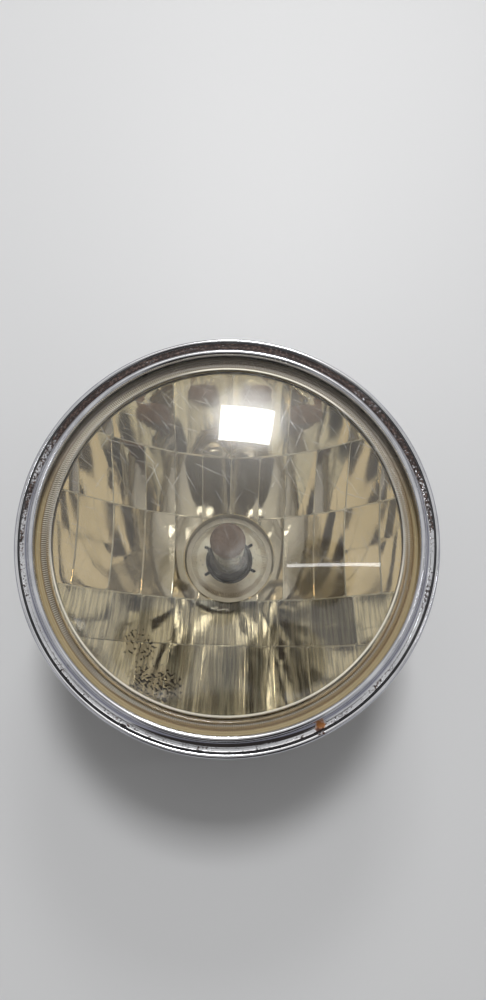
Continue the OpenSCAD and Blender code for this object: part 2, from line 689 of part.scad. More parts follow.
shell();
wiring_grommet();
side_bushes();
side_collars();
rim();
rim_hooks();
rim_tabs();
rim_nuts();
rim_washers();
rim_screws();
pivot_brackets();
pivot_pins();
adjuster_bracket();
adjuster_screw();
adjuster_nut();
adjuster_spring();
unit_ring();
retaining_ring();
ring_screws();
lens();
glass_seal();
reflector();
bulb_seat();
bulb_flange();
bulb_collar();
bulb_glass();
bulb_cap();
bulb_leads();
bulb_filaments();
bulb_shield();
bulb_base();
bulb_terminals();
bulb_boot();
bulb_clip();
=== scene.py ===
import math

import bmesh
import bpy
import numpy as np
from mathutils import Matrix, Vector


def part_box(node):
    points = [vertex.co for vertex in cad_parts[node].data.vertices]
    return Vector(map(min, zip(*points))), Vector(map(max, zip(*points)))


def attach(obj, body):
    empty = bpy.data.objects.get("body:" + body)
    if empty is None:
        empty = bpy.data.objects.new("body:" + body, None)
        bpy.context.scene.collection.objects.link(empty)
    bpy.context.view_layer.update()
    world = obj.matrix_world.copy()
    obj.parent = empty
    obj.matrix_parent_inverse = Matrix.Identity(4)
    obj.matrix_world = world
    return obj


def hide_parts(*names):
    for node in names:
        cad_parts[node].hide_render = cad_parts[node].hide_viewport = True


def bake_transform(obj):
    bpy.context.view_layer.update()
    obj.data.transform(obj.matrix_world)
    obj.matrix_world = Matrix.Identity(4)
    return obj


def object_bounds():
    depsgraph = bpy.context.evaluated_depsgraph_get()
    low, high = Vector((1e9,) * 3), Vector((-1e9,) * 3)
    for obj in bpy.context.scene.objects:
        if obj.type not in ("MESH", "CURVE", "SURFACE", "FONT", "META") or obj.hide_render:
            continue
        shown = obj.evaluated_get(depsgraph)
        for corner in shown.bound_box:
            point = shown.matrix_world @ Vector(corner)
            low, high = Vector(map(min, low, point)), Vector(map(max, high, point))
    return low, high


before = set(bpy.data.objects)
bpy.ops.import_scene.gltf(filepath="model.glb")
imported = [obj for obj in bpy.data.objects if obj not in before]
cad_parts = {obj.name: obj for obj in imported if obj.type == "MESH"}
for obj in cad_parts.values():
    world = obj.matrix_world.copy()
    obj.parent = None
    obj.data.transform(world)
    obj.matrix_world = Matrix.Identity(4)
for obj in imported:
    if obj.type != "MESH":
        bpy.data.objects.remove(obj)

cad_low, cad_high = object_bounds()

# Camera, where the photograph was taken from: over the glass, a little below the lamp's middle.
# It tips up towards the middle and is turned slightly about its own axis.
camera_place = Vector((0.0065, -0.0637, 0.4567))
camera_tip = math.radians(13.7)
camera_turn = math.radians(1.5)
camera_data = bpy.data.cameras.new("camera")
camera_data.sensor_width = 36
camera_data.lens = 27.07
camera = bpy.data.objects.new("camera", camera_data)
camera.matrix_world = (Matrix.Translation(camera_place) @ Matrix.Rotation(camera_tip, 4, "X")
                       @ Matrix.Rotation(camera_turn, 4, "Z"))
bpy.context.scene.collection.objects.link(camera)
bpy.context.scene.camera = camera
bpy.context.scene.view_settings.view_transform = "Standard"

# Room light: a pale ceiling that greys towards the horizon, with a few dark hangings. Small bright
# windows show in the mirror, and a glow round the highlight on glass and chrome. A small square lamp
# makes the highlight, a narrow strip the streak beside it, and a soft lamp overhead lights the table.
ceiling = (0.62, 0.615, 0.60)
horizon = (0.19, 0.19, 0.23)
ceiling_rise = 0.75
hanging = (0.035, 0.030, 0.028)
window = (3.0, 3.0, 3.0)
glow = (1.8, 1.75, 1.65)
bright_glow = (7.5, 7.3, 7.0)
# Each patch of the room's light has a direction, and the angles in degrees where it is full and ends.
hangings = (((0.02, -0.86, 0.50), 27, 30), ((0.26, -0.40, 0.88), 10, 12), ((-0.34, -0.36, 0.87), 10, 12),
            ((-0.04, -0.14, 0.98), 5, 7), ((-0.24, 0.00, 0.97), 5, 6), ((0.42, 0.02, 0.90), 8, 10),
            ((0.0, 0.95, 0.28), 12, 26))
windows = (((0.30, -0.60, 0.75), 3, 5.5), ((-0.33, -0.59, 0.74), 3, 5.5), ((0.70, -0.22, 0.68), 3, 5.5),
           ((-0.70, -0.26, 0.67), 3, 5.5), ((0.02, 0.10, 0.99), 2, 5))
glows = (((0.03, 0.68, 0.73), 4, 25, glow), ((0.055, 0.70, 0.71), 3, 12, bright_glow))
uneven_lumps = 6.0
uneven_reach = 0.03
lit_share = 0.74
backdrop = (0.66, 0.66, 0.67)
lamp_direction = Vector((0.055, 0.70, 0.71)).normalized()
lamp_distance = 1.0
lamp_sides = (0.25, 0.2)
lamp_power = 2.5
soft_direction = Vector((0.03, 0.36, 0.94)).normalized()
soft_distance = 1.5
soft_sides = (0.28, 0.26)
soft_power = 12
strip_direction = Vector((0.51, 0.04, 0.86)).normalized()
strip_distance = 1.0
strip_sides = (0.016, 0.50)
strip_power = 0.27
glass_top = Vector((0, 0, cad_high.z))


def put(tree, socket, value):
    """Links a socket to another one, or sets it to a plain value."""
    if isinstance(value, bpy.types.NodeSocket):
        tree.links.new(value, socket)
    elif socket.type == "RGBA" and len(value) == 3:
        socket.default_value = (*value, 1)
    else:
        socket.default_value = value


def node_in(tree, kind, inputs, **settings):
    """A node in a tree, its settings made and its inputs set or linked."""
    made = tree.nodes.new(kind)
    for key, value in settings.items():
        setattr(made, key, value)
    for key, value in inputs.items():
        put(tree, made.inputs[key], value)
    return made


def mixed(tree, factor, first, second):
    """One colour turned into another by a factor."""
    made = node_in(tree, "ShaderNodeMix", {0: factor}, data_type="RGBA")
    put(tree, made.inputs[6], first)
    put(tree, made.inputs[7], second)
    return made.outputs[2]


world = bpy.data.worlds.new("room")
world.use_nodes = True
bpy.context.scene.world = world
room = world.node_tree
sky = room.nodes.new("ShaderNodeTexCoord").outputs["Generated"]
height = node_in(room, "ShaderNodeSeparateXYZ", {0: sky}).outputs["Z"]
rise = node_in(room, "ShaderNodeMapRange", {"Value": height, "From Max": ceiling_rise},
               interpolation_type="SMOOTHSTEP").outputs[0]
light = mixed(room, rise, horizon, ceiling)
rays = room.nodes.new("ShaderNodeLightPath").outputs
glossy, through = rays["Is Glossy Ray"], rays["Is Transmission Ray"]
off = node_in(room, "ShaderNodeMath", {0: glossy, 1: through}, operation="SUBTRACT",
              use_clamp=True).outputs[0]
lumps = node_in(room, "ShaderNodeTexNoise", {"Vector": sky, "Scale": uneven_lumps}).outputs["Color"]
uneven = node_in(room, "ShaderNodeVectorMath", {0: lumps, 1: (uneven_reach,) * 3, 2: sky},
                 operation="MULTIPLY_ADD").outputs[0]
uneven = node_in(room, "ShaderNodeVectorMath", {0: uneven, 1: (uneven_reach / 2,) * 3},
                 operation="SUBTRACT").outputs[0]
patches = [(sky, *h, hanging, 1.0) for h in hangings] + [(sky, *g, off) for g in glows]
patches += [(uneven, *w, window, through) for w in windows]
for ray, middle, inner, outer, colour, seen in patches:
    toward = node_in(room, "ShaderNodeVectorMath", {0: ray, 1: Vector(middle).normalized()},
                     operation="DOT_PRODUCT").outputs["Value"]
    cover = node_in(room, "ShaderNodeMapRange", {
        "Value": toward, "From Min": math.cos(math.radians(outer)),
        "From Max": math.cos(math.radians(inner))}, interpolation_type="SMOOTHSTEP").outputs[0]
    cover = node_in(room, "ShaderNodeMath", {0: cover, 1: seen}, operation="MULTIPLY").outputs[0]
    light = mixed(room, cover, light, colour)
dimmed = node_in(room, "ShaderNodeVectorMath", {0: light, 1: (lit_share,) * 3}, operation="MULTIPLY")
mirrored = node_in(room, "ShaderNodeMath", {0: glossy, 1: through}, use_clamp=True).outputs[0]
light = mixed(room, mirrored, dimmed.outputs[0], light)
put(room, room.nodes["Background"].inputs["Color"], mixed(room, rays["Is Camera Ray"], light, backdrop))

for name, direction, distance, sides, power in (
        ("highlight_lamp", lamp_direction, lamp_distance, lamp_sides, lamp_power),
        ("soft_lamp", soft_direction, soft_distance, soft_sides, soft_power),
        ("strip_lamp", strip_direction, strip_distance, strip_sides, strip_power)):
    lamp_data = bpy.data.lights.new(name, "AREA")
    lamp_data.shape = "RECTANGLE"
    lamp_data.size, lamp_data.size_y = sides
    lamp_data.energy = power
    lamp = bpy.data.objects.new(name, lamp_data)
    lamp.location = glass_top + direction * distance
    lamp.rotation_euler = (-direction).to_track_quat("-Z", "Y").to_euler()
    lamp.visible_glossy = name != "soft_lamp"
    lamp.visible_transmission = name == "highlight_lamp"
    bpy.context.scene.collection.objects.link(lamp)


# Floor: a plain pale table top, just under the lamp's flat back.
# It is one square of painted board, with the faintest unevenness in its colour.
class Finish:
    """A material with one Principled shader, its textures laid on the object's own coordinates."""

    def __init__(self, name, **values):
        self.material = bpy.data.materials.new(name)
        self.material.use_nodes = True
        self.tree = self.material.node_tree
        self.shader = self.tree.nodes["Principled BSDF"]
        for key, value in values.items():
            put(self.tree, self.shader.inputs[key.replace("_", " ")], value)
        self.place = self.tree.nodes.new("ShaderNodeTexCoord").outputs["Object"]

    def node(self, kind, inputs, **settings):
        """A node of this finish."""
        return node_in(self.tree, kind, inputs, **settings)

    def noise(self, size, detail=3.0, stretch=(1, 1, 1), roughness=0.5):
        """Soft noise whose lumps are about size across, in metres."""
        place = self.node("ShaderNodeMapping", {"Vector": self.place, "Scale": stretch})
        return self.node("ShaderNodeTexNoise", {"Vector": place.outputs[0], "Scale": 1 / size,
                                                "Detail": detail, "Roughness": roughness}).outputs[0]

    def cells(self, size):
        """Distance from the middles of cells about size across."""
        return self.node("ShaderNodeTexVoronoi", {"Vector": self.place, "Scale": 1 / size}).outputs[0]

    def part(self, axis):
        """One coordinate of the place on the piece."""
        return self.node("ShaderNodeSeparateXYZ", {0: self.place}).outputs[axis]

    def far(self, middle=(0, 0, 0), flat=False):
        """Distance from a point, or with flat from the line through it along Z."""
        away = self.node("ShaderNodeVectorMath", {0: self.place, 1: middle}, operation="SUBTRACT")
        keep = (1, 1, 0) if flat else (1, 1, 1)
        kept = self.node("ShaderNodeVectorMath", {0: away.outputs[0], 1: keep}, operation="MULTIPLY")
        return self.node("ShaderNodeVectorMath", {0: kept.outputs[0]}, operation="LENGTH").outputs["Value"]

    def grooves(self, reach, per_metre):
        """Noise that runs in rings, as fine as its lumps per metre of reach."""
        along = self.node("ShaderNodeCombineXYZ", {0: reach}).outputs[0]
        return self.node("ShaderNodeTexNoise", {"Vector": along, "Scale": per_metre,
                                                "Detail": 4.0}).outputs[0]

    def fold(self, operation, *values):
        """Numbers or sockets joined by one operation, from the first to the last."""
        total = values[0]
        for value in values[1:]:
            total = self.node("ShaderNodeMath", {0: total, 1: value}, operation=operation).outputs[0]
        return total

    def plus(self, *values):
        return self.fold("ADD", *values)

    def less(self, *values):
        return self.fold("SUBTRACT", *values)

    def times(self, *values):
        return self.fold("MULTIPLY", *values)

    def most(self, *values):
        return self.fold("MAXIMUM", *values)

    def sine(self, value):
        return self.node("ShaderNodeMath", {0: value}, operation="SINE").outputs[0]

    def spokes(self, count):
        """A wave that rises and falls count times in one turn round Z."""
        return self.sine(self.times(self.fold("ARCTAN2", self.part("Y"), self.part("X")), float(count)))

    def span(self, value, low, high, start=0.0, end=1.0):
        """The value's stretch from low to high, made a smooth step from start to end."""
        return self.node("ShaderNodeMapRange", {"Value": value, "From Min": low, "From Max": high,
                                                "To Min": start, "To Max": end},
                         interpolation_type="SMOOTHSTEP").outputs[0]

    def band(self, value, low, high, soft):
        """One between low and high, and nothing outside, with edges soft to each side of both."""
        return self.times(self.span(value, low - soft, low + soft),
                          self.span(value, high + soft, high - soft))

    def mix(self, factor, first, second):
        """A colour between two, each a socket or three numbers."""
        return mixed(self.tree, factor, first, second)

    def drive(self, **sockets):
        """Links textures to the shader's own sockets."""
        for key, socket in sockets.items():
            put(self.tree, self.shader.inputs[key.replace("_", " ")], socket)

    def bump(self, height, distance, strength=1.0):
        """Raises the surface by height times distance, in metres."""
        made = self.node("ShaderNodeBump", {"Height": height, "Distance": distance, "Strength": strength})
        put(self.tree, self.shader.inputs["Normal"], made.outputs[0])


floor_half = 3.0
floor_drop = 0.0002
board = Finish("painted_board", Roughness=0.5)
board.drive(Base_Color=board.mix(board.noise(0.35, 2), (0.655, 0.66, 0.67), (0.685, 0.69, 0.70)))
floor_mesh = bpy.data.meshes.new("floor")
floor_mesh.from_pydata([(x * floor_half, y * floor_half, -floor_drop)
                        for x, y in ((-1, -1), (1, -1), (1, 1), (-1, 1))], [], [(0, 1, 2, 3)])
floor_mesh.materials.append(board.material)
floor = bpy.data.objects.new("floor", floor_mesh)
bpy.context.scene.collection.objects.link(floor)


# Shell: one deep pressing in sheet steel, with a boss at each side, a sunk seat for the wiring
# and a stepped-in mouth. It is sprayed gloss black, and has gathered dust and fine scuffs.
def refinish(finish, slot, *names):
    """Gives carried-over nodes a finish in place of the plain one."""
    for name in names:
        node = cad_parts[name]
        for place in node.material_slots:
            place.material = finish.material


black = Finish("gloss_black", Coat_Weight=0.2, Coat_Roughness=0.08, Specular_IOR_Level=0.4)
dust = black.span(black.noise(0.03, 6, roughness=0.7), 0.42, 0.75)
scuffs = black.span(black.noise(0.004, 4, (1, 1, 9)), 0.60, 0.78)
orange_peel = black.noise(0.0016, 2)
paint = black.mix(dust, (0.005, 0.005, 0.006), (0.020, 0.019, 0.018))
black.drive(Base_Color=black.mix(scuffs, paint, (0.045, 0.045, 0.046)),
            Roughness=black.span(black.plus(dust, scuffs), 0, 1.4, 0.12, 0.42))
black.bump(orange_peel, 0.00004, 0.35)
refinish(black, "black_paint", "shell")

# Wiring grommet, side bushes and the bulb's boot: black rubber, moulded.
# The grommet snaps into the sunk seat, the bushes into the side bosses, and the boot over the bulb.
rubber = Finish("black_rubber", Specular_IOR_Level=0.35)
bloom = rubber.span(rubber.noise(0.006, 5), 0.4, 0.7)
rubber.drive(Base_Color=rubber.mix(bloom, (0.013, 0.013, 0.013), (0.045, 0.043, 0.04)),
             Roughness=rubber.span(bloom, 0, 1, 0.55, 0.8))
rubber.bump(rubber.noise(0.0006, 3), 0.00004, 0.5)
refinish(rubber, "rubber", "wiring_grommet", "side_bushes", "bulb_boot")

# Pressed steel inside the lamp and at its sides: collars, hooks, tabs, nuts, washers, brackets,
# pins, the two unit rings and the bulb's seat plate. All are zinc plated, gone dull and spotted.
zinc = Finish("dull_zinc", Metallic=0.9)
cloud = zinc.noise(0.009, 5)
stains = zinc.span(zinc.noise(0.0015, 4), 0.62, 0.72)
tone = zinc.mix(zinc.span(cloud, 0.35, 0.65), (0.42, 0.43, 0.42), (0.60, 0.60, 0.56))
zinc.drive(Base_Color=zinc.mix(stains, tone, (0.30, 0.25, 0.18)),
           Roughness=zinc.span(cloud, 0.3, 0.7, 0.26, 0.48))
zinc.bump(zinc.noise(0.0008, 3), 0.00002, 0.5)
refinish(zinc, "zinc_steel", "side_collars", "rim_hooks", "rim_tabs", "rim_nuts", "rim_washers",
         "rim_screws", "pivot_brackets", "pivot_pins", "adjuster_bracket", "unit_ring",
         "retaining_ring", "ring_screws", "bulb_seat")


# Rim: sheet brass rolled to a bead round the glass, a hollow band, a fine groove and an outer
# bead, then plated with chrome. The plating is pitted, and rust has spread in the hollow band;
# towards the top the band is also painted darker, a painted dark reflection.
MM = 0.001


def arc(r0, z0, radius, start, end, steps):
    """Points along an arc of a circle, in the plane of an outline."""
    angles = [math.radians(start + (end - start) * i / steps) for i in range(steps + 1)]
    return [(r0 + radius * math.cos(a), z0 + radius * math.sin(a)) for a in angles]


def turned(name, outline, steps, lift=None, sharp=32):
    """A closed outline of radius and height, in millimetres, turned about Z. Where lift is given,
    it raises the points of an outline's index at every turning step."""
    turn = 2 * math.pi / steps
    points, rings = [], []
    for index, (r, z) in enumerate(outline):
        count = 1 if r < 1e-6 else steps
        rings.append(list(range(len(points), len(points) + count)))
        for i in range(count):
            height = z + (lift(index, i) if lift else 0)
            points.append((r * MM * math.cos(turn * i), r * MM * math.sin(turn * i), height * MM))
    faces = []
    for ring, following in zip(rings, rings[1:] + rings[:1]):
        for i in range(steps):
            j = (i + 1) % steps
            face = [ring[i % len(ring)], ring[j % len(ring)],
                    following[j % len(following)], following[i % len(following)]]
            face = list(dict.fromkeys(face))
            if len(face) > 2:
                faces.append(face)
    return shaped(name, points, faces, sharp)


def shaped(name, points, faces, sharp, edges=()):
    """An object of one mesh, its doubles merged, its faces turned outwards and shaded smooth up
    to a sharpest angle. Where edges has a number for each point, the mesh keeps it as edge."""
    mesh = bpy.data.meshes.new(name)
    mesh.from_pydata(points, [], faces)
    work = bmesh.new()
    work.from_mesh(mesh)
    if edges:
        layer = work.verts.layers.float.new("edge")
        for vert, edge in zip(work.verts, edges):
            vert[layer] = edge
    bmesh.ops.remove_doubles(work, verts=work.verts, dist=2e-7)
    bmesh.ops.dissolve_degenerate(work, edges=work.edges, dist=1e-7)
    bmesh.ops.recalc_face_normals(work, faces=work.faces)
    work.to_mesh(mesh)
    work.free()
    mesh.polygons.foreach_set("use_smooth", [True] * len(mesh.polygons))
    mesh.set_sharp_from_angle(angle=math.radians(sharp))
    made = bpy.data.objects.new(name, mesh)
    bpy.context.scene.collection.objects.link(made)
    return made


def fitted(piece, finish, slot, body, *nodes):
    """Gives a new piece its finish, its body and the nodes that it stands for."""
    piece.data.materials.clear()
    piece.data.materials.append(finish.material)
    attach(piece, body)
    if nodes:
        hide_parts(*nodes)
    return piece


rim_low, rim_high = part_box("rim")
rim_r = rim_high.x / MM
rim_foot = rim_low.z / MM
rim_h = 9.6
rim_w = 9.5
rim_sheet = 1.2
lip_drop = 1.2
bead_w = 2.5
outer_bead_w = 2.3
groove_w = 0.7
groove_d = 0.9
hollow_top = 0.5
hollow_fall = 1.4
hollow_sag = 0.8
lip_z = rim_foot + rim_h
lip_r = rim_r - rim_w
cove_in = lip_r + bead_w
cove_out = rim_r - outer_bead_w - groove_w
cove_z = lip_z - hollow_top - hollow_fall
edge_r = outer_bead_w / 2
hollow = [(cove_in + (cove_out - cove_in) * k,
           lip_z - hollow_top - hollow_fall * k - hollow_sag * math.sin(math.pi * k))
          for k in np.linspace(0, 1, 18)]
rim_outline = ([(lip_r, lip_z - lip_drop)] + arc(lip_r + bead_w / 2, lip_z - 0.05, bead_w / 2, 180, 24, 16)
               + hollow[1:] + [(cove_out + 0.15, cove_z - groove_d),
                               (cove_out + groove_w - 0.15, cove_z - groove_d)]
               + arc(rim_r - edge_r, cove_z - 0.5 - edge_r, edge_r, 165, 0, 14)
               + [(rim_r, rim_foot), (rim_r - rim_sheet, rim_foot), (rim_r - rim_sheet, cove_z - 2.5),
                  (cove_out + 0.3, cove_z - 2.2), (cove_out, cove_z - 1.5), (cove_in, lip_z - 1.5)])
chrome = Finish("pitted_chrome")
reach = chrome.far(flat=True)
upward = chrome.part("Y")
# The dark band starts nearer to the lip at the top of the lamp, and ends at the fine groove.
# It is rust, and towards the top also a painted dark reflection, denser there.
dark_band_start = chrome.span(upward, -0.01, 0.075, (cove_in + 2.1) * MM, (cove_in - 0.1) * MM)
in_hollow = chrome.times(chrome.span(chrome.less(reach, dark_band_start), -0.0004, 0.0006),
                         chrome.span(reach, (cove_out + 0.6) * MM, (cove_out + 0.2) * MM))
rust_and_reflection_cover = chrome.plus(chrome.noise(0.0011, 5, roughness=0.72),
                       chrome.span(upward, -0.03, 0.08, -0.05, 0.18),
                       chrome.span(chrome.noise(0.018, 3), 0.35, 0.65, -0.05, 0.07))
rust_and_painted_reflection = chrome.times(in_hollow, chrome.span(rust_and_reflection_cover, 0.49, 0.57))
# The fine groove is painted near-black.
dark_marks = chrome.band(reach, (cove_out - 0.05) * MM, (cove_out + groove_w + 0.05) * MM, 0.15 * MM)
spot_place = (0.0412, -0.0800, 0.131)
pit_place = (0.0414, -0.0822, 0.131)
spot_size = 0.0041
ragged = chrome.times(chrome.noise(0.002, 4), spot_size)
rust_spot = chrome.span(chrome.plus(chrome.far(spot_place), ragged), spot_size * 1.25, spot_size * 0.95)
pit = chrome.span(chrome.plus(chrome.far(pit_place), ragged), spot_size * 1.1, spot_size * 0.9)
haze = chrome.noise(0.012, 5)
pitted = chrome.times(chrome.span(chrome.cells(0.0009), 0.16, 0.06),
                      chrome.span(chrome.noise(0.005, 4), 0.5, 0.62))
rust_and_reflection_tone = chrome.mix(chrome.span(chrome.noise(0.0009, 4), 0.5, 0.62),
                  (0.016, 0.009, 0.008), (0.10, 0.065, 0.055))
plate = chrome.mix(chrome.span(haze, 0.35, 0.65), (0.76, 0.77, 0.81), (0.64, 0.65, 0.69))
for where, colour in ((pitted, (0.12, 0.11, 0.11)), (rust_and_painted_reflection, rust_and_reflection_tone), (dark_marks, (0.012, 0.010, 0.010)),
                      (rust_spot, (0.27, 0.11, 0.035)), (pit, (0.045, 0.014, 0.006))):
    plate = chrome.mix(where, plate, colour)
rust_and_dark_marks = chrome.most(rust_spot, pit, rust_and_painted_reflection, dark_marks)
chrome.drive(Base_Color=plate, Metallic=chrome.span(rust_and_dark_marks, 0, 1, 1, 0.15),
             Roughness=chrome.plus(chrome.span(haze, 0.3, 0.7, 0.05, 0.14), chrome.times(rust_and_dark_marks, 0.5)))
chrome.bump(chrome.plus(rust_and_dark_marks, pitted), 0.00006, 0.5)
fitted(turned("chromed_rim", rim_outline, 480), chrome, "chrome", "housing", "rim")


# Lens: pressed clear glass, a shallow dome on a step, inside a flat flange.
# Two rows of fine radial ribs run round the flange. Road grit has left it finely scratched.
lens_low, lens_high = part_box("lens")
lens_r = lens_high.x / MM
lens_foot = lens_low.z / MM
flange_w = 6.6
flange_h = 3
mouth_w = 1.9
lens_top = lens_foot + flange_h
step_r = lens_r - flange_w
mouth_r = step_r - mouth_w
step_h = 2.4
wall_t = 2.4
dome_r = 250
dome_t = 3.2
dome_top = lens_high.z / MM
rib_count = 540
rib_depth = 0.3
rib_rows = ((83.9, 82.75), (82.35, 81.2))
rib_slope = 0.12
edge_round = 0.4
chamfer = 0.3


def dome(r, top):
    """A point of a sphere of the dome's radius, with its crown at a height."""
    return (r, top - dome_r + math.sqrt(dome_r * dome_r - r * r))


flange = [(lens_r, lens_foot + chamfer), (lens_r, lens_top - edge_round),
          (lens_r - edge_round * 0.3, lens_top - edge_round * 0.3), (lens_r - edge_round, lens_top)]
ribbed = []
for outer, inner in rib_rows:
    flange.append((outer + rib_slope, lens_top))
    ribbed += [len(flange), len(flange) + 1]
    flange += [(outer, lens_top), (inner, lens_top), (inner - rib_slope, lens_top)]
shoulder_r = 0.7
corner_r = 1.5
inner_r = step_r - wall_t
step_foot = arc(step_r + 0.5, lens_top + 0.5, 0.5, 270, 180, 4)
shoulder = arc(step_r - shoulder_r, lens_top + step_h - shoulder_r, shoulder_r, 0, 68, 6)
outer_dome = [dome(r, dome_top) for r in np.linspace(step_r - 2 * shoulder_r, 0, 14)]
inner_dome = [dome(r, dome_top - dome_t) for r in np.linspace(0, inner_r - corner_r - 0.1, 14)]
inner_corner = arc(inner_r - corner_r, inner_dome[-1][1] - corner_r - 0.1, corner_r, 82, 0, 5)
lens_outline = (flange + step_foot + shoulder + outer_dome + inner_dome + inner_corner
                + [(inner_r, lens_foot + chamfer), (inner_r + chamfer, lens_foot),
                   (lens_r - chamfer, lens_foot)])
glass = Finish("clear_glass", IOR=1.5, Coat_Weight=0.55, Coat_Roughness=0.18)


def scratched(finish, turn, apart, share):
    """Long fine scratches across the glass, at one turn about Z: the crests of gently bent
    waves that lie apart, each broken into stretches."""
    rotated = finish.node("ShaderNodeMapping", {"Vector": finish.place,
                                                "Rotation": (0, 0, math.radians(turn))}).outputs[0]
    waves = finish.node("ShaderNodeTexWave", {"Vector": rotated, "Scale": 0.314 / apart, "Distortion": 9.0,
                                              "Detail": 1.0, "Detail Scale": 0.35}).outputs["Fac"]
    patchy = finish.node("ShaderNodeTexNoise", {"Vector": rotated, "Scale": 1 / (1.7 * apart),
                                                "Detail": 1.0}).outputs[0]
    return finish.times(finish.span(waves, 0.9984, 0.9999), finish.span(patchy, share, share + 0.10))


row_soft = 0.1
dot_low, dot_high = step_r + 0.5, step_r + 1.3
dot_widening = 1.5
tick_low, tick_high = step_r - 2.6, step_r + 0.1
rib_edge = rib_rows[0][0]
across, upward = glass.part("X"), glass.part("Y")
# Towards the top the flange is painted paler, greyer and less clear: painted light.
at_top = glass.span(upward, 0.005, 0.055)
rib_reach = glass.far(flat=True)
step_reach = glass.far((0, 0.001, 0), flat=True)
scratches = 0.0
for turn, apart, share in ((-48, 0.0050, 0.50), (-35, 0.007, 0.52), (-70, 0.008, 0.54),
                           (-20, 0.010, 0.56), (25, 0.009, 0.58)):
    scratches = glass.most(scratched(glass, turn, apart, share), scratches)
scratches = glass.times(scratches, glass.span(upward, -0.03, 0.03, 0.25, 1.0))
chips = glass.times(glass.span(glass.noise(0.0014, 2), 0.735, 0.76), 0.6)
worn = glass.most(scratches, chips)
veil = glass.span(glass.noise(0.035, 5), 0.40, 0.75)
# Rows of dark marks in the ribs, pale on one face of each rib: dots on the flange, wider at the
# left, and ticks on the step at both sides.
dot_reach = glass.less(rib_reach, glass.times(glass.span(across, -0.01, -0.06), dot_widening * MM))
dots = glass.times(glass.span(rib_reach, (dot_low - row_soft) * MM, (dot_low + row_soft) * MM),
                   glass.span(dot_reach, (dot_high + row_soft) * MM, (dot_high - row_soft) * MM))
ticked = glass.times(glass.span(upward, -0.025, 0.01), glass.most(
    glass.span(across, -0.012, -0.03), glass.span(across, 0.045, 0.06, 0, 0.8)))
ticks = glass.times(ticked, glass.band(step_reach, tick_low * MM, tick_high * MM, row_soft * MM))
dark_rib_rows = glass.most(dots, ticks)
pale_rib_faces = glass.times(glass.span(glass.spokes(rib_count), -0.1, 0.7), dark_rib_rows,
                       glass.span(glass.noise(0.03, 2), 0.35, 0.6, 0.7, 1.0))
# A painted highlight: a bright thin ring along the step, left off where the ticks are.
step = glass.times(glass.span(step_reach, (inner_r - row_soft) * MM, (inner_r + row_soft) * MM),
                   glass.span(step_reach, (inner_r + 1.0) * MM, (inner_r + 0.7) * MM),
                   glass.less(1.0, ticked))
# A painted highlight: a bright band at the outer edge of the ribs, left off at the top.
edge_highlight = glass.times(glass.span(rib_reach, (rib_edge - 0.5) * MM, rib_edge * MM),
                          glass.span(at_top, 0.5, 0.0))
on_flange = glass.most(glass.span(rib_reach, (mouth_r + 0.3) * MM, (mouth_r + 0.9) * MM), step)
# The flange is painted with tan and pale rings: a lit image of the sealing compound under it,
# painted onto the glass.
rings = glass.grooves(rib_reach, 1100.0)
lines = glass.span(glass.sine(glass.plus(glass.times(rib_reach, 4200.0), glass.times(rings, 6.0))), 0.6, 1.0)
rings = glass.plus(glass.span(rings, 0.38, 0.62, 0.0, 0.45), glass.times(lines, 0.55))
painted_seal_tone = glass.mix(rings, (0.46, 0.33, 0.18), (0.86, 0.70, 0.44))
for where, colour in ((edge_highlight, glass.mix(rings, (0.78, 0.60, 0.32), (1.0, 0.92, 0.64))),
                      (at_top, glass.mix(rings, (0.42, 0.37, 0.31), (1.0, 0.95, 0.88))),
                      (dark_rib_rows, (0.33, 0.27, 0.19)), (pale_rib_faces, (1.0, 0.96, 0.84)),
                      (step, (1.0, 0.95, 0.80))):
    painted_seal_tone = glass.mix(where, painted_seal_tone, colour)
clouded = glass.plus(glass.times(worn, 0.35), glass.times(veil, 0.016), glass.times(pale_rib_faces, 0.35),
                     glass.times(on_flange, glass.span(at_top, 0, 1, 0.36, 0.55)), glass.times(step, 0.4))
clouded = glass.fold("MINIMUM", clouded, 0.95)
clear_tone = glass.mix(worn, (0.965, 0.968, 0.945), (0.95, 0.93, 0.86))
glass.drive(Base_Color=glass.mix(on_flange, clear_tone, painted_seal_tone),
            Roughness=glass.plus(glass.times(worn, 0.25), glass.times(veil, 0.03)),
            Transmission_Weight=glass.less(1.0, clouded))
glass.bump(worn, 0.00001, 0.4)
lens = turned("pressed_lens", lens_outline, 2 * rib_count,
              lambda index, i: -rib_depth if index in ribbed and i % 2 else 0, sharp=24)
fitted(lens, glass, "clear_glass", "optic", "lens")

# Seal: a ring of sealing compound between the glass and the reflector's flange, laid in beads.
# It was clear amber once, and has gone tan, with dirt and small bubbles along its edges.
seal_low, seal_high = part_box("glass_seal")
seal_r = seal_high.x / MM
seal_in = mouth_r + 1.0
seal_gap = 0.05
seal_bead = 0.12
bead_count = 7
seal_foot = seal_low.z / MM + 0.01
seal_top = [(seal_r - (seal_r - seal_in) * k,
             lens_foot - seal_gap - seal_bead * (1 - math.cos(2 * math.pi * bead_count * k)) / 2)
            for k in np.linspace(0, 1, 48)]
seal_outline = seal_top + [(seal_in, seal_foot), (seal_r, seal_foot)]
sealant = Finish("aged_sealant", Specular_IOR_Level=0.4)
beads = sealant.grooves(sealant.far(flat=True), 1400.0)
amber = sealant.mix(sealant.span(beads, 0.35, 0.65), (0.58, 0.44, 0.25), (0.80, 0.66, 0.43))
# Towards the top the seal is painted a paler grey: painted light.
amber = sealant.mix(sealant.span(sealant.part("Y"), 0.02, 0.075), amber, (0.74, 0.70, 0.61))
dark_marks = sealant.span(sealant.noise(0.0013, 4), 0.66, 0.72)
sealant.drive(Base_Color=sealant.mix(dark_marks, amber, (0.10, 0.06, 0.035)),
              Roughness=sealant.span(beads, 0.3, 0.7, 0.35, 0.6))
sealant.bump(beads, 0.0001, 0.4)
fitted(turned("sealing_ring", seal_outline, 360), sealant, "aged_sealant", "optic", "glass_seal")

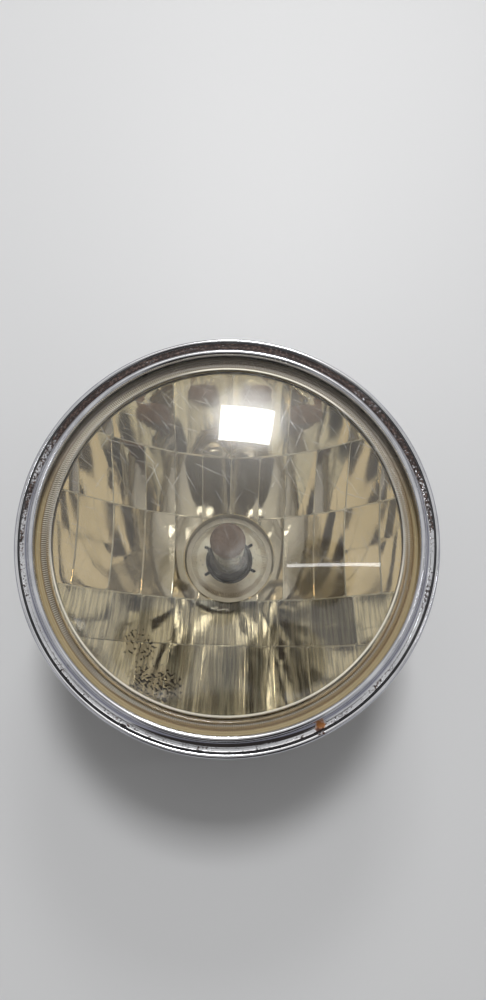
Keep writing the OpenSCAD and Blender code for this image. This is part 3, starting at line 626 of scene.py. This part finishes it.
# Reflector: a bowl pressed in steel and lacquered, then coated with bright metal, now yellowed.
# Its face is rows and columns of shallow hollow facets, from side to side and from the top down,
# with the bulb's well in the middle.
refl_low, refl_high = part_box("reflector")
hub_r = 23.1
focal = 25.7
mouth_z = refl_high.z / MM
vertex_z = mouth_z - mouth_r ** 2 / (4 * focal)
seat_z = refl_low.z / MM
seat_hole_r = 20.2
flange_t = 1.4
bowl_t = 1.4
facet_floor = 1.2
facet_foot = 1.3
seam = 0.06
grid_along = 1.1
grid_across = 1.3
least_reach = 0.002
row_cuts = (mouth_r, 48.5, 20.5, -22, -45.5, -mouth_r)
top_columns = (-55.5, -28, 0, 28, 55.5)
middle_columns = (-70, -56.3, -42.3, -28, -14.6, 14.6, 28, 42.3, 56.3, 70)
lower_columns = (-54, -41.4, -26.2, -16.4, 15.6, 25, 40.4, 59)
bottom_columns = (-39.3, -26.7, -10.9, 9.4, 23, 37.9)


def bowl(x, y, depth):
    """A point of the bowl over a place on the plan, sunk by depth square to its surface."""
    sx, sy = x / (2 * focal), y / (2 * focal)
    norm = math.sqrt(1 + sx * sx + sy * sy)
    height = vertex_z + (x * x + y * y) / (4 * focal)
    return (x + sx * depth / norm, y + sy * depth / norm, height - depth / norm)


def cell_levels(cell, along_x):
    """The lines of points that fill a cell of the facet plan, inside the mouth and outside the
    well: for each, its place along one axis and its reach along the other."""
    x0, x1, y0, y1 = cell
    (a0, a1), (b0, b1) = ((x0, x1), (y0, y1)) if along_x else ((y0, y1), (x0, x1))

    def span(a):
        reach = math.sqrt(max(mouth_r ** 2 - a * a, 0))
        keep = math.sqrt(max(hub_r ** 2 - a * a, 0))
        low, high = max(b0, -reach), min(b1, reach)
        return (max(low, keep), high) if b0 + b1 > 0 else (low, min(high, -keep))

    def is_open(a):
        low, high = span(a)
        return high - low > least_reach

    def edge_between(shut, free):
        for _ in range(30):
            middle = (shut + free) / 2
            shut, free = (shut, middle) if is_open(middle) else (middle, free)
        return free

    tries = np.linspace(a0, a1, max(5, int((a1 - a0) / grid_along)))
    free = [a for a in tries if is_open(a)]
    if not free:
        return []
    if free[0] > a0:
        free.insert(0, edge_between(max(a for a in tries if a < free[0]), free[0]))
    if free[-1] < a1:
        free.append(edge_between(min(a for a in tries if a > free[-1]), free[-1]))
    return [(a, *span(a)) for a in free]


def facet(cell, along_x, hollow_depth, lean, drop):
    """The points and faces of one facet, a closed tile: hollow across its width, leaning to one
    side and dropping to its upper or its lower edge. Its last list marks the points on its border."""
    x0, x1, y0, y1 = cell
    levels = cell_levels((x0 + seam, x1 - seam, y0 + seam, y1 - seam), along_x)
    if len(levels) < 2:
        return [], [], []
    across = max(4, int(max(high - low for _, low, high in levels) / grid_across))
    front, back = [], []
    for a, low, high in levels:
        for j in range(across + 1):
            b = low + (high - low) * j / across
            x, y = (a, b) if along_x else (b, a)
            u = min(max((x - x0) / (x1 - x0), 0), 1)
            v = min(max((y - y0) / (y1 - y0), 0), 1)
            side = u if lean > 0 else 1 - u
            fall = v if drop > 0 else 1 - v
            depth = 4 * hollow_depth * u * (1 - u) + abs(lean) * side + abs(drop) * fall
            front.append(bowl(x, y, depth))
            back.append(bowl(x, y, facet_foot))
    rows, columns = len(levels), across + 1
    count = rows * columns

    def quad(i, j):
        return [i * columns + j, (i + 1) * columns + j, (i + 1) * columns + j + 1, i * columns + j + 1]

    quads = [quad(i, j) for i in range(rows - 1) for j in range(across)]
    faces = quads + [[count + k for k in reversed(q)] for q in quads]
    loop = ([j for j in range(columns)] + [i * columns + across for i in range(1, rows)]
            + [(rows - 1) * columns + j for j in range(across - 1, -1, -1)]
            + [i * columns for i in range(rows - 2, 0, -1)])
    faces += [[p, q, count + q, count + p] for p, q in zip(loop, loop[1:] + loop[:1])]
    border = set(loop)
    return front + back, faces, [1.0 if k in border else 0.0 for k in range(count)] + [0.0] * count


# Each row has the cuts between its columns, whether its lines of points run up or across, how
# hollow its facets are, how far they lean, counted from the side inwards, and how far they drop.
plans = ((top_columns, True, 0.78, (0.20, 0.28, 0.18), -0.12),
         (middle_columns, False, 0.25, (0.66, -0.50, 0.70, -0.60, 0.40), 0.18),
         (middle_columns, False, 0.25, (-0.60, 0.55, -0.70, 0.58, -0.45), -0.16),
         (lower_columns, False, 0.28, (0.60, -0.64, 0.50, -0.60), 0.16),
         (bottom_columns, True, 0.35, (-0.50, 0.60, -0.45), -0.12))
facets = []
for row, (columns, along_x, hollow_depth, leans, drop) in enumerate(plans):
    top, bottom = row_cuts[row], row_cuts[row + 1]
    stops = (-mouth_r, *columns, mouth_r)
    for number, (x0, x1) in enumerate(zip(stops, stops[1:])):
        from_side = min(number, len(stops) - 2 - number)
        lean = leans[from_side % len(leans)] * (1 if x0 + x1 > 0 else -1)
        if x0 < 0 < x1 and row in (1, 2):
            heights = ((bottom, top),) if row == 1 else ((0, top), (bottom, 0))
            for y0, y1 in heights:
                facets.append(((x0, 0, y0, y1), True, hollow_depth, -abs(lean), drop))
                facets.append(((0, x1, y0, y1), True, hollow_depth, abs(lean), drop))
        else:
            facets.append(((x0, x1, bottom, top), along_x or x0 < 0 < x1, hollow_depth, lean, drop))
bowl_points, bowl_faces, bowl_edges = [], [], []
for tile in facets:
    points, faces, edges = facet(*tile)
    start = len(bowl_points)
    bowl_points += [tuple(c * MM for c in p) for p in points]
    bowl_faces += [[start + k for k in face] for face in faces]
    bowl_edges += edges


def section(r, depth):
    """The bowl's outline at a radius, sunk by depth."""
    x, _, z = bowl(r, 0, depth)
    return (x, z)


flange_r = refl_high.x / MM
hub_edge = bowl(hub_r, 0, 0)[2]
bend = 1.2
hub_drop = 2
seat_round = 0.4
back_outline = ([(mouth_r, mouth_z), (flange_r, mouth_z), (flange_r, mouth_z - flange_t),
                 (mouth_r + 1.3, mouth_z - flange_t)]
                + [section(r, bowl_t) for r in np.linspace(mouth_r - bend, hub_r + bend, 40)]
                + [(hub_r + bowl_t, hub_edge - hub_drop), (hub_r + bowl_t, seat_z), (seat_hole_r, seat_z),
                   (seat_hole_r, seat_z + bowl_t), (hub_r - seat_round, seat_z + bowl_t),
                   (hub_r, seat_z + bowl_t + seat_round), (hub_r, hub_edge - 0.15), (hub_r + 0.2, hub_edge)]
                + [section(r, facet_floor) for r in np.linspace(hub_r + 0.5, mouth_r - 0.3, 60)])
bowl_back = turned("bowl_back", back_outline, 240)
first = len(bowl_points)
bowl_points += [tuple(v.co) for v in bowl_back.data.vertices]
bowl_faces += [[first + k for k in p.vertices] for p in bowl_back.data.polygons]
bowl_edges += [0.0] * len(bowl_back.data.vertices)
bpy.data.objects.remove(bowl_back)
reflector = shaped("facetted_reflector", bowl_points, bowl_faces, sharp=20, edges=bowl_edges)
mirror = Finish("yellowed_mirror")
film = mirror.noise(0.02, 5)
well = mirror.span(mirror.far(flat=True), (hub_r + 0.15) * MM, (hub_r + 0.05) * MM)
# Two patches where the coating has corroded to specks, low at the left.
patch_places = ((-0.0394, -0.0473, 0.0987), (-0.0296, -0.0644, 0.1107))
patch = mirror.most(mirror.span(mirror.far(patch_places[0]), 0.012, 0.006, 0, 0.8),
                    mirror.span(mirror.far(patch_places[1]), 0.015, 0.008))
specks = mirror.span(mirror.plus(mirror.noise(0.0015, 4), mirror.times(patch, 0.105)), 0.635, 0.645)
specks = mirror.times(specks, mirror.span(patch, 0, 0.15))
lower = mirror.span(mirror.part("Y"), -0.0212, -0.0228)
streaks = mirror.noise(0.0011, 3, (1, 0.04, 0.04))
# Painted highlight: the facets' borders are paler and less metallic, so they show as bright lines.
ridge_highlight = mirror.span(mirror.node("ShaderNodeAttribute", {}, attribute_name="edge").outputs["Fac"], 0.78, 0.95)
lower_coat = mirror.mix(mirror.span(streaks, 0.38, 0.62), (0.54, 0.52, 0.45), (0.88, 0.85, 0.74))
well_coat = mirror.mix(mirror.noise(0.0012, 3), (0.56, 0.49, 0.38), (0.72, 0.65, 0.52))
coat = mirror.mix(mirror.span(film, 0.3, 0.7), (0.92, 0.82, 0.64), (0.87, 0.77, 0.58))
for where, colour in ((lower, lower_coat), (well, well_coat), (mirror.times(patch, 0.35), (0.50, 0.41, 0.30)),
                      (ridge_highlight, (0.93, 0.86, 0.68)), (specks, (0.022, 0.012, 0.008))):
    coat = mirror.mix(where, coat, colour)
mirror.drive(Base_Color=coat,
             Metallic=mirror.span(mirror.most(specks, mirror.times(ridge_highlight, 0.5)), 0, 1, 1, 0.1),
             Roughness=mirror.plus(mirror.span(mirror.plus(film, specks), 0.3, 1.3, 0.03, 0.25),
                                   mirror.times(well, 0.30), mirror.times(patch, 0.06)))
mirror.bump(mirror.plus(mirror.noise(0.005, 2), mirror.times(streaks, lower, 1.3), mirror.times(ridge_highlight, 4.0)),
            0.00003, 0.5)
fitted(reflector, mirror, "mirror_coat", "optic", "reflector")


# Bulb flange: a plated steel disc that drops into the well, with four round-ended notches at the
# collar. A ring of fine pressed ribs near its edge stiffens it. Heat has turned it cream.
def tree_of(name, sizes):
    """A node tree with named inputs, and a geometry output."""
    tree = bpy.data.node_groups.new(name, "GeometryNodeTree")
    for key, kind in sizes:
        tree.interface.new_socket(key, in_out="INPUT", socket_type="NodeSocket" + kind)
    tree.interface.new_socket("Geometry", in_out="OUTPUT", socket_type="NodeSocketGeometry")
    return tree, tree.nodes.new("NodeGroupInput").outputs


def closed(tree, geometry, size):
    """Ends a tree: what it made is put in its place, made real and given its material."""
    placed = node_in(tree, "GeometryNodeTransform", {"Geometry": geometry, "Translation": size["Place"]})
    solid = node_in(tree, "GeometryNodeRealizeInstances", {0: placed.outputs[0]})
    painted = node_in(tree, "GeometryNodeSetMaterial", {"Geometry": solid.outputs[0],
                                                        "Material": size["Material"]})
    node_in(tree, "NodeGroupOutput", {0: painted.outputs[0]})


def grown(name, tree, **values):
    """The plain mesh that a tree makes from its inputs, as one object."""
    made = bpy.data.objects.new(name, bpy.data.meshes.new(name + "_seed"))
    bpy.context.scene.collection.objects.link(made)
    modifier = made.modifiers.new("growth", "NODES")
    modifier.node_group = tree
    sockets = {item.name: item.identifier for item in tree.interface.items_tree
               if item.in_out == "INPUT"}
    for key, value in values.items():
        modifier[sockets[key.replace("_", " ")]] = value
    made.update_tag()
    bpy.context.view_layer.update()
    graph = bpy.context.evaluated_depsgraph_get()
    mesh = bpy.data.meshes.new_from_object(made.evaluated_get(graph))
    made.modifiers.clear()
    made.data = mesh
    return made


ribs, size = tree_of("radial_ribs", (("Count", "Int"), ("Radius", "Float"), ("Length", "Float"),
                                     ("Width", "Float"), ("Height", "Float"), ("Place", "Vector"),
                                     ("Material", "Material")))
circle = node_in(ribs, "GeometryNodeMeshCircle", {"Vertices": size["Count"], "Radius": size["Radius"]})
round_bar = node_in(ribs, "GeometryNodeMeshCylinder", {"Vertices": 10, "Radius": 1.0, "Depth": 2.0})
form = node_in(ribs, "ShaderNodeCombineXYZ", {0: size["Width"], 1: size["Height"], 2: size["Length"]})
outward = node_in(ribs, "FunctionNodeAlignRotationToVector",
                  {"Vector": ribs.nodes.new("GeometryNodeInputPosition").outputs[0]}, axis="Z")
ring = node_in(ribs, "GeometryNodeInstanceOnPoints", {
    "Points": circle.outputs["Mesh"], "Instance": round_bar.outputs["Mesh"],
    "Rotation": outward.outputs[0], "Scale": form.outputs[0]})
closed(ribs, ring.outputs[0], size)

plate_rib_count = 132
plate_rib_r = 18.6
plate_rib_l = 1.1
plate_rib_w = 0.26
plate_rib_h = 0.24
cream = Finish("heat_tinted_plate", Metallic=0.85)
tint = cream.noise(0.006, 4)
soot = cream.span(cream.noise(0.0015, 4), 0.62, 0.78)
cream_reach = cream.far(flat=True)
# Painted shade on one side of each gap between the ribs.
shade_between_ribs = cream.times(cream.span(cream.spokes(plate_rib_count), 0.1, 0.8, 0, 0.6),
                           cream.band(cream_reach, (plate_rib_r - 1.2) * MM, (plate_rib_r + 1.4) * MM,
                                      0.2 * MM))
cream_tone = cream.mix(cream.span(tint, 0.35, 0.65), (1.0, 0.93, 0.76), (0.96, 0.86, 0.66))
for where, colour in ((shade_between_ribs, (0.50, 0.38, 0.24)),
                      (cream.span(cream_reach, 0.0206, 0.0209), (0.14, 0.10, 0.07)),
                      # Darker towards the bottom: a painted shadow of the bulb.
                      (cream.span(cream.part("Y"), -0.006, -0.017, 0, 0.75), (0.44, 0.35, 0.25)),
                      (soot, (0.30, 0.23, 0.15))):
    cream_tone = cream.mix(where, cream_tone, colour)
cream.drive(Base_Color=cream_tone, Roughness=cream.span(tint, 0.3, 0.7, 0.42, 0.6))
cream.bump(cream.noise(0.0005, 3), 0.00002, 0.5)
refinish(cream, "bulb_flange", "bulb_flange")
plate_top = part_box("bulb_flange")[1].z
flange_ribs = grown("flange_ribs", ribs, Count=plate_rib_count, Radius=plate_rib_r * MM,
                    Length=plate_rib_l * MM, Width=plate_rib_w * MM, Height=plate_rib_h * MM,
                    Place=Vector((0, 0, plate_top)), Material=cream.material)
fitted(flange_ribs, cream, "bulb_flange", "optic")

# Bulb: a tube of clear quartz pinched at its foot, in a steel collar, with its tip dipped in
# grey-brown heat-proof paint. Inside stand the lead wires, a shield and two coiled filaments.
quartz = Finish("clear_quartz", Roughness=0.04, Base_Color=(0.62, 0.58, 0.48, 1))
# Where the quartz turns away it grows tan and opaque: a painted sheen on its edges.
turned_away = quartz.node("ShaderNodeLayerWeight", {"Blend": 0.5}).outputs["Facing"]
smears = quartz.noise(0.004, 4)
quartz.drive(Alpha=quartz.plus(quartz.span(smears, 0.45, 0.75, 0.0, 0.10),
                               quartz.span(turned_away, 0.35, 1.0, 0.05, 0.75)),
             Roughness=quartz.span(smears, 0.5, 0.8, 0.02, 0.12))
refinish(quartz, "bulb_glass", "bulb_glass")
cap_paint = Finish("cap_paint", Specular_IOR_Level=0.15)
mottle = cap_paint.noise(0.0024, 6, roughness=0.7)
cap_paint.drive(Base_Color=cap_paint.mix(cap_paint.span(mottle, 0.40, 0.62),
                                         (0.25, 0.155, 0.105), (0.32, 0.215, 0.155)),
                Roughness=cap_paint.span(mottle, 0.3, 0.7, 0.45, 0.7))
cap_paint.bump(mottle, 0.00008, 0.6)
refinish(cap_paint, "bulb_cap", "bulb_cap")
bulb_steel = Finish("heat_dulled_steel", Metallic=0.9)
blue = bulb_steel.noise(0.005, 4)
bulb_steel.drive(Base_Color=bulb_steel.mix(bulb_steel.span(blue, 0.35, 0.65), (0.34, 0.31, 0.26),
                                           (0.48, 0.46, 0.42)),
                 Roughness=bulb_steel.span(blue, 0.3, 0.7, 0.25, 0.45))
bulb_steel.bump(bulb_steel.noise(0.0006, 3), 0.00002, 0.5)
refinish(bulb_steel, "bulb_steel", "bulb_leads", "bulb_shield", "bulb_terminals")
# The collar is painted near-black: painted shade round the bulb's foot.
collar_shade_steel = Finish("near_black_collar_steel", Metallic=0.7)
collar_mottle = collar_shade_steel.noise(0.003, 4)
collar_shade_steel.drive(Base_Color=collar_shade_steel.mix(collar_shade_steel.span(collar_mottle, 0.35, 0.65),
                                   (0.035, 0.026, 0.020), (0.10, 0.08, 0.06)),
             Roughness=collar_shade_steel.span(collar_mottle, 0.3, 0.7, 0.3, 0.5))
collar_shade_steel.bump(collar_shade_steel.noise(0.0006, 3), 0.00002, 0.5)
refinish(collar_shade_steel, "bulb_steel", "bulb_collar")
ceramic = Finish("base_ceramic", Specular_IOR_Level=0.4)
speckle = ceramic.noise(0.001, 4)
ceramic.drive(Base_Color=ceramic.mix(ceramic.span(speckle, 0.4, 0.6),
                                     (0.30, 0.25, 0.19), (0.40, 0.34, 0.27)),
              Roughness=ceramic.span(speckle, 0.3, 0.7, 0.5, 0.7))
ceramic.bump(speckle, 0.00005, 0.5)
refinish(ceramic, "base_ceramic", "bulb_base")

coils, size = tree_of("coil", (("Turns", "Float"), ("Radius", "Float"), ("Length", "Float"),
                               ("Wire", "Float"), ("Place", "Vector"), ("Material", "Material")))
helix = node_in(coils, "GeometryNodeCurveSpiral", {
    "Resolution": 28, "Rotations": size["Turns"], "Start Radius": size["Radius"],
    "End Radius": size["Radius"], "Height": size["Length"]})
wire = node_in(coils, "GeometryNodeCurvePrimitiveCircle", {"Resolution": 10, "Radius": size["Wire"]})
wound = node_in(coils, "GeometryNodeCurveToMesh", {"Curve": helix.outputs[0],
                                                  "Profile Curve": wire.outputs[0], "Fill Caps": True})
closed(coils, wound.outputs[0], size)

coil_r = 0.55
coil_pitch = 0.55
coil_wire = 0.15
focus_z = vertex_z + focal
front_foot, front_l = focus_z - 1, 5.8
rear_foot, rear_l = focus_z - 9.4, 5.4
tungsten = Finish("tungsten_wire", Metallic=0.8)
tungsten.drive(Base_Color=tungsten.mix(tungsten.noise(0.0006, 3), (0.10, 0.10, 0.11), (0.22, 0.22, 0.24)),
               Roughness=tungsten.span(tungsten.noise(0.0004, 2), 0.3, 0.7, 0.35, 0.6))
for name, foot, length, nodes in (("front_filament", front_foot, front_l, ["bulb_filaments"]),
                                  ("rear_filament", rear_foot, rear_l, [])):
    filament = grown(name, coils, Turns=length / coil_pitch, Radius=coil_r * MM,
                     Length=(length - 2 * coil_wire) * MM, Wire=coil_wire * MM,
                     Place=Vector((0, 0, foot + coil_wire)) * MM, Material=tungsten.material)
    fitted(filament, tungsten, "tungsten", "optic", *nodes)

# Bulb clip: one piece of drawn spring wire, bent to press the flange home.
# It hooks into the seat plate's two ears and snaps under the catch below.
spring_steel = Finish("spring_steel", Metallic=1.0)
grain = spring_steel.noise(0.0012, 3, (1, 1, 0.2))
spring_steel.drive(Base_Color=spring_steel.mix(grain, (0.38, 0.38, 0.39), (0.58, 0.58, 0.58)),
                   Roughness=spring_steel.span(grain, 0.3, 0.7, 0.22, 0.4))
refinish(spring_steel, "spring_steel", "bulb_clip")

# Adjuster: a turned brass screw with a slotted head, a grooved nylon nut that carries the unit
# ring's tab, and a coiled spring of steel wire that takes up the play between the two.
brass = Finish("turned_brass", Metallic=1.0)
tarnish = brass.noise(0.003, 4)
brass.drive(Base_Color=brass.mix(brass.span(tarnish, 0.35, 0.7), (0.70, 0.52, 0.25), (0.42, 0.30, 0.15)),
            Roughness=brass.span(tarnish, 0.3, 0.7, 0.2, 0.42))
brass.bump(brass.noise(0.0004, 2, (0.2, 0.2, 6)), 0.00002, 0.6)
refinish(brass, "brass", "adjuster_screw")
nylon = Finish("white_nylon", Subsurface_Weight=0.15, Subsurface_Radius=(0.002, 0.002, 0.0015))
nylon.drive(Base_Color=nylon.mix(nylon.noise(0.003, 3), (0.70, 0.69, 0.62), (0.58, 0.55, 0.46)),
            Roughness=nylon.span(nylon.noise(0.0008, 3), 0.3, 0.7, 0.38, 0.55))
nylon.bump(nylon.noise(0.0006, 2), 0.00002, 0.5)
refinish(nylon, "white_nylon", "adjuster_nut")
spring_low, spring_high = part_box("adjuster_spring")
spring_turns = 6.5
spring_wire = 0.45 * MM
spring_middle = (spring_low + spring_high) / 2
spring_r = (spring_high.x - spring_low.x) / 2 - spring_wire
spring = grown("adjuster_coil_spring", coils, Turns=spring_turns, Radius=spring_r,
               Length=spring_high.z - spring_low.z - 2 * spring_wire, Wire=spring_wire,
               Place=Vector((spring_middle.x, spring_middle.y, spring_low.z + spring_wire)),
               Material=spring_steel.material)
spring.data.materials.clear()
spring.data.materials.append(spring_steel.material)
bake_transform(spring)
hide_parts("adjuster_spring")
